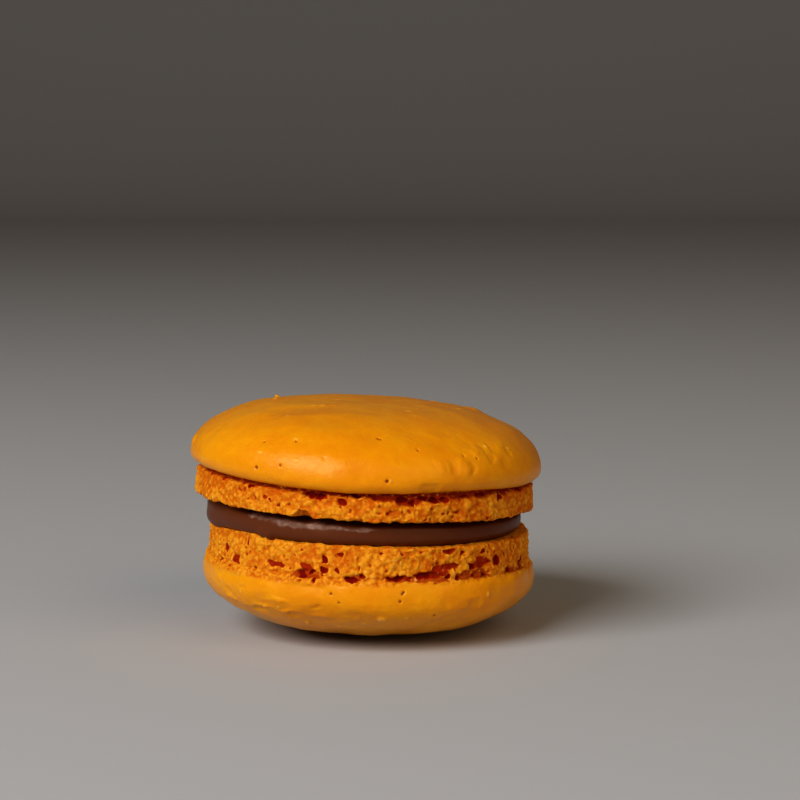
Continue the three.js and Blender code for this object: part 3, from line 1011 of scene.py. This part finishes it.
def meringue_material(name, shell):
    """Golden skin on the dome and open crumb on the foot, with red shade painted into the crumb's
    hollows and neck and painted highlights on its grain tips.
    """
    material, nodes = new_material(name)
    place = nodes.add("ShaderNodeTexCoord", output="Object")
    own_place = attribute(nodes, "own_place", "Vector")
    crumb, hollow_shade = attribute(nodes, "crumb"), attribute(nodes, "hollow_shade")
    pale = attribute(nodes, "pale")
    skin_grain = bumped(swell(place, 0.5, 6, 3.0), distance=0.03, strength=0.45)
    skin = baked_surface(skin_colours(place, own_place, shell), roughness=0.34,
                         shine=0.48, normal=skin_grain, soft=0.35, soft_reach=1.2)
    # Small grains: they bump the crumb, and their middles are painted paler, as light on them.
    speckle = 0.9 - 2.0 * grains(bent(own_place, 0.4, 0.3, 22), 0.4, 17)
    # Deep in the crumb's low places and pale on its raised ones: partly its own tone, partly
    # painted shade and light.
    crumb_colour = mix_colour(rise(pale + 0.3 * speckle, 0.0, 0.95), CRUMB_DEEP, CRUMB_PALE)
    # Painted highlights on the tips of the grains.
    painted_highlights = rise(pale + 0.4 * speckle, 0.95, 1.25)
    crumb_colour = mix_colour(0.8 * painted_highlights, crumb_colour, CRUMB_PAINTED_HIGHLIGHT)
    # Painted red shade in the pores and the neck, and darker painted shade in the deep hollows.
    crumb_colour = mix_colour(rise(hollow_shade, 0.08, 0.36), crumb_colour, PORE_PAINTED_SHADE)
    crumb_colour = mix_colour(rise(hollow_shade, 0.42, 0.85), crumb_colour, HOLLOW_PAINTED_SHADE)
    crumb_grain = bumped(speckle + 0.3 * swell(place, 0.25, 7, 1.0), distance=0.07, strength=0.26)
    crumbs = baked_surface(crumb_colour, roughness=0.65, shine=0.12, normal=crumb_grain,
                           soft=0.3, soft_reach=0.5)
    shader = nodes.add("ShaderNodeMixShader", None, {0: crumb, 1: skin, 2: crumbs})
    nodes.add("ShaderNodeOutputMaterial", None, {"Surface": shader})
    return material


GANACHE_DARK = (0.118, 0.030, 0.0085, 1.0)
# The scuffed patches' colour, greyer and paler: partly dried chocolate, partly a painted highlight.
GANACHE_SCUFF_HIGHLIGHT = (0.27, 0.165, 0.125, 1.0)
GANACHE_SHINE = (1.0, 0.82, 0.7, 1.0)


def ganache_material():
    """Dark set chocolate with a soft sheen, duller where it is scuffed, and paler there, partly as
    dried chocolate and partly as a painted highlight.
    """
    material, nodes = new_material("chocolate_ganache")
    place = nodes.add("ShaderNodeTexCoord", output="Object")
    scuff_and_highlight = attribute(nodes, "scuffs_and_highlights")
    speck = rise(swell(place, 0.7, 9, 2.0), -0.4, 0.8)
    # Dried patches painted paler, partly as a highlight, broken by specks.
    colour = mix_colour(scuff_and_highlight * (0.3 + 0.7 * speck), GANACHE_DARK, GANACHE_SCUFF_HIGHLIGHT)
    shader = nodes.add("ShaderNodeBsdfPrincipled", None, {
        "Base Color": colour,
        "Roughness": 0.4 + 0.12 * scuff_and_highlight,
        "Normal": bumped(swell(place, 0.4, 8, 2.0), distance=0.02, strength=0.4),
        "IOR": 1.4,
        "Specular IOR Level": 0.35,
        "Specular Tint": GANACHE_SHINE,
    })
    nodes.add("ShaderNodeOutputMaterial", None, {"Surface": shader})
    return material


# ---- The macaron -------------------------------------------------------------

def dress(body, material, node):
    """Gives a body its material and puts it in the place of a node."""
    body.data.materials.append(material)
    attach(body, "root")
    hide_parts(node)


upper = make_shell(UPPER)
put_in_place(upper, UPPER_BOTTOM, UPPER_SHIFT, tilt=UPPER_TILT)
dress(upper, meringue_material("baked_meringue_upper", UPPER), "upper_shell")

lower = make_shell(LOWER)
put_in_place(lower, LOWER["apex_height"], 0.0, upside_down=True)
flatten_on_floor(lower)
dress(lower, meringue_material("baked_meringue_lower", LOWER), "lower_shell")

ganache = make_ganache()
put_in_place(ganache, GANACHE_BOTTOM, GANACHE_SHIFT)
dress(ganache, ganache_material(), "ganache")


# ---- Stage, light and camera -------------------------------------------------

FLOOR_REACH = 1.6
FLOOR_GREY = (0.47, 0.48, 0.5, 1.0)
BACKDROP_BEND = 0.5
BACKDROP_STEPS = 16
BACKDROP_HEIGHT = 1.2

AIM = Vector((0.0, 0.0, 0.015))
LIGHT_DISTANCE = 0.9
DAYLIGHT = (1.0, 1.0, 1.0)
LAMPLIGHT = (1.0, 0.79, 0.54)
ROOM_WARMTH = (1.0, 0.8, 0.6, 1.0)

# The camera's dip puts the horizon on this row of the render, counted from the top.
RENDER_SIDE = 800
HORIZON_ROW = 138
SENSOR_WIDTH = 36.0
CAMERA_LENS = 112.5
CAMERA_SIDE = 4.4
CAMERA_DISTANCE = 320.0
CAMERA_HEIGHT = 63.02
LENS_IN_PIXELS = RENDER_SIDE * CAMERA_LENS / SENSOR_WIDTH
CAMERA_DIP = math.degrees(math.atan((RENDER_SIDE / 2 - HORIZON_ROW) / LENS_IN_PIXELS))


def make_stage():
    """A pale floor that sweeps up into a backdrop behind the macaron."""
    select_nothing()
    bpy.ops.mesh.primitive_plane_add(size=2 * FLOOR_REACH)
    floor = bpy.context.object
    floor.name = "floor"
    bpy.ops.object.mode_set(mode="EDIT")
    bpy.ops.mesh.select_mode(type="EDGE")
    bpy.ops.mesh.select_all(action="DESELECT")
    bpy.ops.object.mode_set(mode="OBJECT")
    back = next(edge for edge in floor.data.edges
                if all(floor.data.vertices[i].co.y > 0 for i in edge.vertices))
    back.select = True
    bpy.ops.object.mode_set(mode="EDIT")
    stride = math.pi / 2 * BACKDROP_BEND / BACKDROP_STEPS
    for i in range(BACKDROP_STEPS):
        turn = math.pi / 2 * (i + 0.5) / BACKDROP_STEPS
        move = Vector((0.0, math.cos(turn), math.sin(turn))) * stride
        bpy.ops.mesh.extrude_region_move(TRANSFORM_OT_translate={"value": move})
    bpy.ops.mesh.extrude_region_move(
        TRANSFORM_OT_translate={"value": (0.0, 0.0, BACKDROP_HEIGHT)})
    bpy.ops.object.mode_set(mode="OBJECT")
    bpy.ops.object.shade_smooth()
    material, nodes = new_material("pale_floor")
    shader = nodes.add("ShaderNodeBsdfPrincipled", None,
                       {"Base Color": FLOOR_GREY, "Roughness": 0.85})
    nodes.add("ShaderNodeOutputMaterial", None, {"Surface": shader})
    floor.data.materials.append(material)


def add_soft_light(name, bearing, elevation, width, height, power, colour):
    """A soft box that shines at the macaron from a bearing round it and an elevation."""
    turn, up = math.radians(bearing), math.radians(elevation)
    away = Vector((math.cos(turn) * math.cos(up), math.sin(turn) * math.cos(up), math.sin(up)))
    lamp = bpy.data.lights.new(name, "AREA")
    lamp.shape = "RECTANGLE"
    lamp.size = width
    lamp.size_y = height
    lamp.energy = power
    lamp.color = colour
    light = bpy.data.objects.new(name, lamp)
    light.location = AIM + away * LIGHT_DISTANCE
    light.rotation_euler = away.to_track_quat("Z", "Y").to_euler()
    bpy.context.collection.objects.link(light)


def add_camera():
    """The camera in front of the macaron, a little above it and to its right."""
    camera = bpy.data.cameras.new("camera")
    camera.lens = CAMERA_LENS
    camera.sensor_width = SENSOR_WIDTH
    camera.clip_start = 0.01
    camera.clip_end = 20.0
    holder = bpy.data.objects.new("camera", camera)
    holder.location = (CAMERA_SIDE * MM, -CAMERA_DISTANCE * MM, CAMERA_HEIGHT * MM)
    holder.rotation_euler = (math.radians(90.0 - CAMERA_DIP), 0.0, 0.0)
    bpy.context.collection.objects.link(holder)
    bpy.context.scene.camera = holder


def set_room_light(strength):
    """A weak warm light from everywhere."""
    world = bpy.data.worlds.new("room")
    world.use_nodes = True
    background = world.node_tree.nodes["Background"]
    background.inputs["Color"].default_value = ROOM_WARMTH
    background.inputs["Strength"].default_value = strength
    bpy.context.scene.world = world


make_stage()
add_soft_light("window", bearing=-130.0, elevation=33.0, width=0.6, height=0.48, power=7.1,
               colour=DAYLIGHT)
add_soft_light("warm_fill", bearing=-50.0, elevation=30.0, width=0.8, height=0.8, power=2.1,
               colour=LAMPLIGHT)
set_room_light(0.09)
add_camera()
bpy.context.scene.view_settings.view_transform = "Standard"
bpy.context.scene.view_settings.look = "Medium High Contrast"
